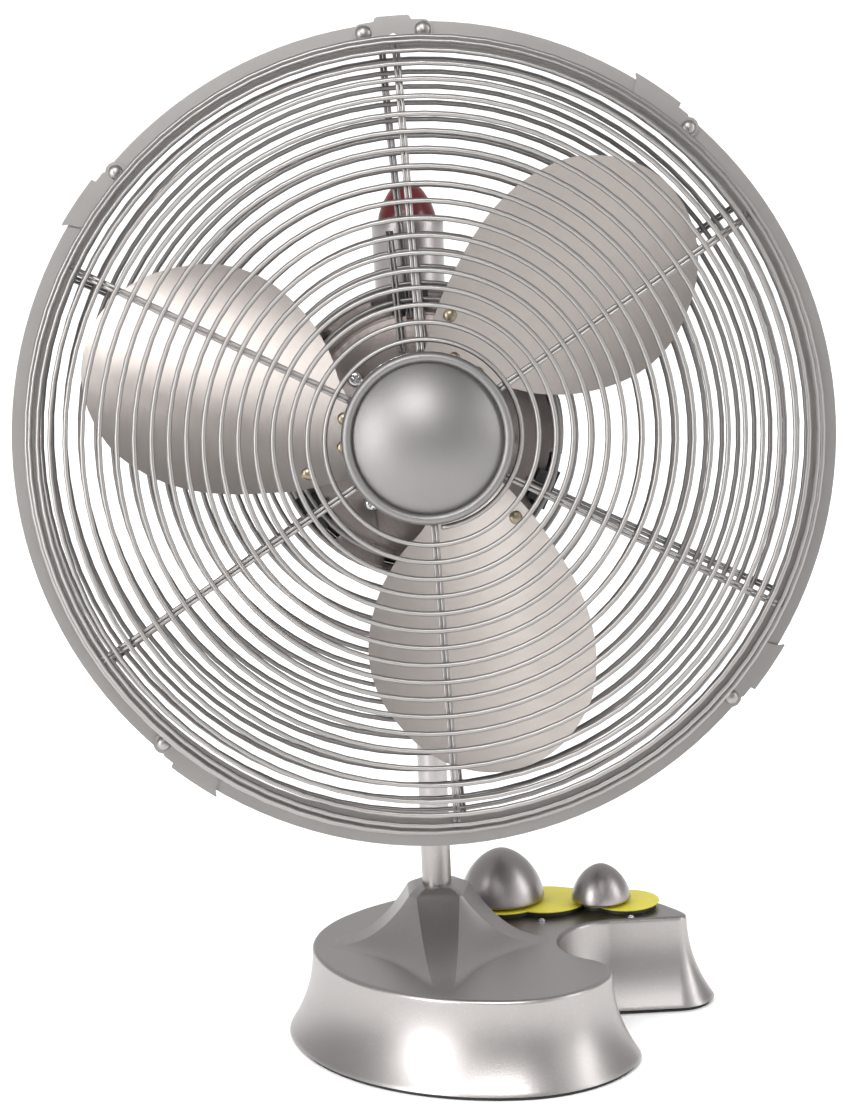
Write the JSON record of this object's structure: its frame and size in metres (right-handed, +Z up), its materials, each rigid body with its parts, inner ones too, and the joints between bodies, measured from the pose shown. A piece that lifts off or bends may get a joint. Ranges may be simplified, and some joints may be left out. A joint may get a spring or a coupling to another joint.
{
  "type": "desk fan",
  "caption": "Oscillating desk fan in satin nickel: wire guards round three metal blades, domed badge, motor on a tilting slim post, comma-shaped base with two knobs.",
  "frame": {"origin": "on the floor under the centre of the post, on the face of the rubber pad", "axes": "+Z up along the post; the fan blows towards -Y; +X to the right seen from the front"},
  "size_m": [0.35, 0.2459, 0.4772],
  "materials": {
    "nickel": "satin nickel",
    "guard_wire": "bright satin",
    "rear_guard_wire": "bright satin",
    "badge_metal": "turned",
    "blade_metal": "satin, brushed along the blade",
    "spider_metal": "satin",
    "knob_metal": "turned satin nickel",
    "motor_paint": "satin taupe",
    "steel": "bright",
    "lamination_steel": "dull",
    "cast_iron": "rough",
    "brass": "satin",
    "copper": "enamelled copper wire",
    "black_rubber": "matt",
    "black_plastic": "matt",
    "red_plastic": "glossy",
    "yellow_card": "matt, blank"
  },
  "bodies": {
    "base": {"base_cover": "nickel", "base_plate": "black_plastic", "ballast_weight": "cast_iron", "rubber_pad": "black_rubber", "base_fasteners": "steel", "post_cowl": "nickel", "post_tube": "nickel", "control_panel": "black_plastic", "knob_card": "yellow_card", "panel_studs": "steel", "rotary_switches": "black_plastic", "cord_gland": "black_rubber", "post_fork": "nickel", "tilt_bolt": "steel"},
    "tilt_knob": {"tilt_knob": "knob_metal"},
    "speed_knob": {"speed_knob": "knob_metal"},
    "timer_knob": {"timer_knob": "knob_metal"},
    "neck": {"neck": "nickel"},
    "head": {"gearbox_housing": "motor_paint", "gearbox_cover": "motor_paint", "clutch_sleeve": "knob_metal", "clutch_collar": "black_plastic", "motor_front_bell": "motor_paint", "motor_rear_bell": "motor_paint", "stator_core": "lamination_steel", "stator_windings": "copper", "motor_bushes": "brass", "through_bolts": "steel", "rear_mount_plate": "motor_paint", "mount_screws": "steel", "guard_pads": "black_rubber", "rear_face_rings": "rear_guard_wire", "rear_side_rings": "rear_guard_wire", "rear_spokes": "rear_guard_wire", "rear_rim": "rear_guard_wire", "front_face_rings": "guard_wire", "front_side_rings": "guard_wire", "front_spokes": "guard_wire", "front_rim": "guard_wire", "badge_bezel": "badge_metal", "badge_dome": "badge_metal", "badge_back": "steel", "top_tab": "guard_wire", "guard_rivets": "guard_wire"},
    "rotor": {"motor_shaft": "steel", "rotor_core": "lamination_steel", "worm": "brass", "blade_spider": "spider_metal", "blade_rivets": "brass", "blade_1": "blade_metal", "blade_2": "blade_metal", "blade_3": "blade_metal"},
    "worm_wheel": {"worm_wheel": "brass"},
    "crank": {"crank": "brass"},
    "link": {"link_arm": "steel"},
    "clutch_knob": {"clutch_knob": "red_plastic"},
    "latch_1": {"latch_1": "guard_wire"},
    "latch_2": {"latch_2": "guard_wire"},
    "latch_3": {"latch_3": "guard_wire"},
    "latch_4": {"latch_4": "guard_wire"}
  },
  "joints": [
    {"name": "head_tilt", "type": "hinge", "parent": "base", "child": "neck", "pos_m": [0, 0, 0.211], "axis": [1, 0, 0], "range_deg": [-15, 30]},
    {"name": "tilt_knob_turn", "type": "hinge", "parent": "base", "child": "tilt_knob", "pos_m": [0.012, 0, 0.211], "axis": [1, 0, 0], "range_deg": [0, 180]},
    {"name": "speed_turn", "type": "hinge", "parent": "base", "child": "speed_knob", "pos_m": [0.032, 0.041, 0.047], "axis": [0, 0, 1], "range_deg": [-210, 0]},
    {"name": "timer_turn", "type": "hinge", "parent": "base", "child": "timer_knob", "pos_m": [0.0785, 0.032, 0.047], "axis": [0, 0, 1], "range_deg": [-300, 0]},
    {"name": "head_swing", "type": "hinge", "parent": "neck", "child": "head", "pos_m": [0, 0, 0.211], "axis": [0, 0.1736, 0.9848], "range_deg": [-35, 35]},
    {"name": "crank_turn", "type": "hinge", "parent": "head", "child": "crank", "pos_m": [0, 0.03099, 0.23701], "axis": [0, 0.1736, 0.9848], "range_deg": [-35, 35]},
    {"name": "link_turn", "type": "hinge", "parent": "crank", "child": "link", "pos_m": [-0.011, 0.03047, 0.23406], "axis": [0, 0.1736, 0.9848], "range_deg": [-35, 35]},
    {"name": "rotor_spin", "type": "hinge", "parent": "head", "child": "rotor", "pos_m": [0, 0.0125, 0.28191], "axis": [0, -0.9848, 0.1736], "continuous": true},
    {"name": "worm_wheel_spin", "type": "hinge", "parent": "head", "child": "worm_wheel", "pos_m": [0.0181, 0.01731, 0.26887], "axis": [0, 0.1736, 0.9848], "continuous": true},
    {"name": "clutch_push", "type": "slide", "parent": "head", "child": "clutch_knob", "axis": [0, 0.1736, 0.9848], "range_m": [-0.004, 0]},
    {"name": "latch_1_turn", "type": "hinge", "parent": "head", "child": "latch_1", "pos_m": [0.11696, -0.08192, 0.42592], "axis": [0, -0.9848, 0.1736], "range_deg": [-60, 0]},
    {"name": "latch_2_turn", "type": "hinge", "parent": "head", "child": "latch_2", "pos_m": [-0.12543, -0.08339, 0.41758], "axis": [0, -0.9848, 0.1736], "range_deg": [-60, 0]},
    {"name": "latch_3_turn", "type": "hinge", "parent": "head", "child": "latch_3", "pos_m": [-0.11696, -0.12549, 0.17888], "axis": [0, -0.9848, 0.1736], "range_deg": [-60, 0]},
    {"name": "latch_4_turn", "type": "hinge", "parent": "head", "child": "latch_4", "pos_m": [0.12543, -0.12402, 0.18721], "axis": [0, -0.9848, 0.1736], "range_deg": [-60, 0]}
  ],
  "couplings": [
    {"joint": "crank_turn", "follows": "head_swing", "ratio": -1},
    {"joint": "link_turn", "follows": "head_swing", "ratio": 1},
    {"joint": "worm_wheel_spin", "follows": "rotor_spin", "ratio": 0.033333}
  ]
}
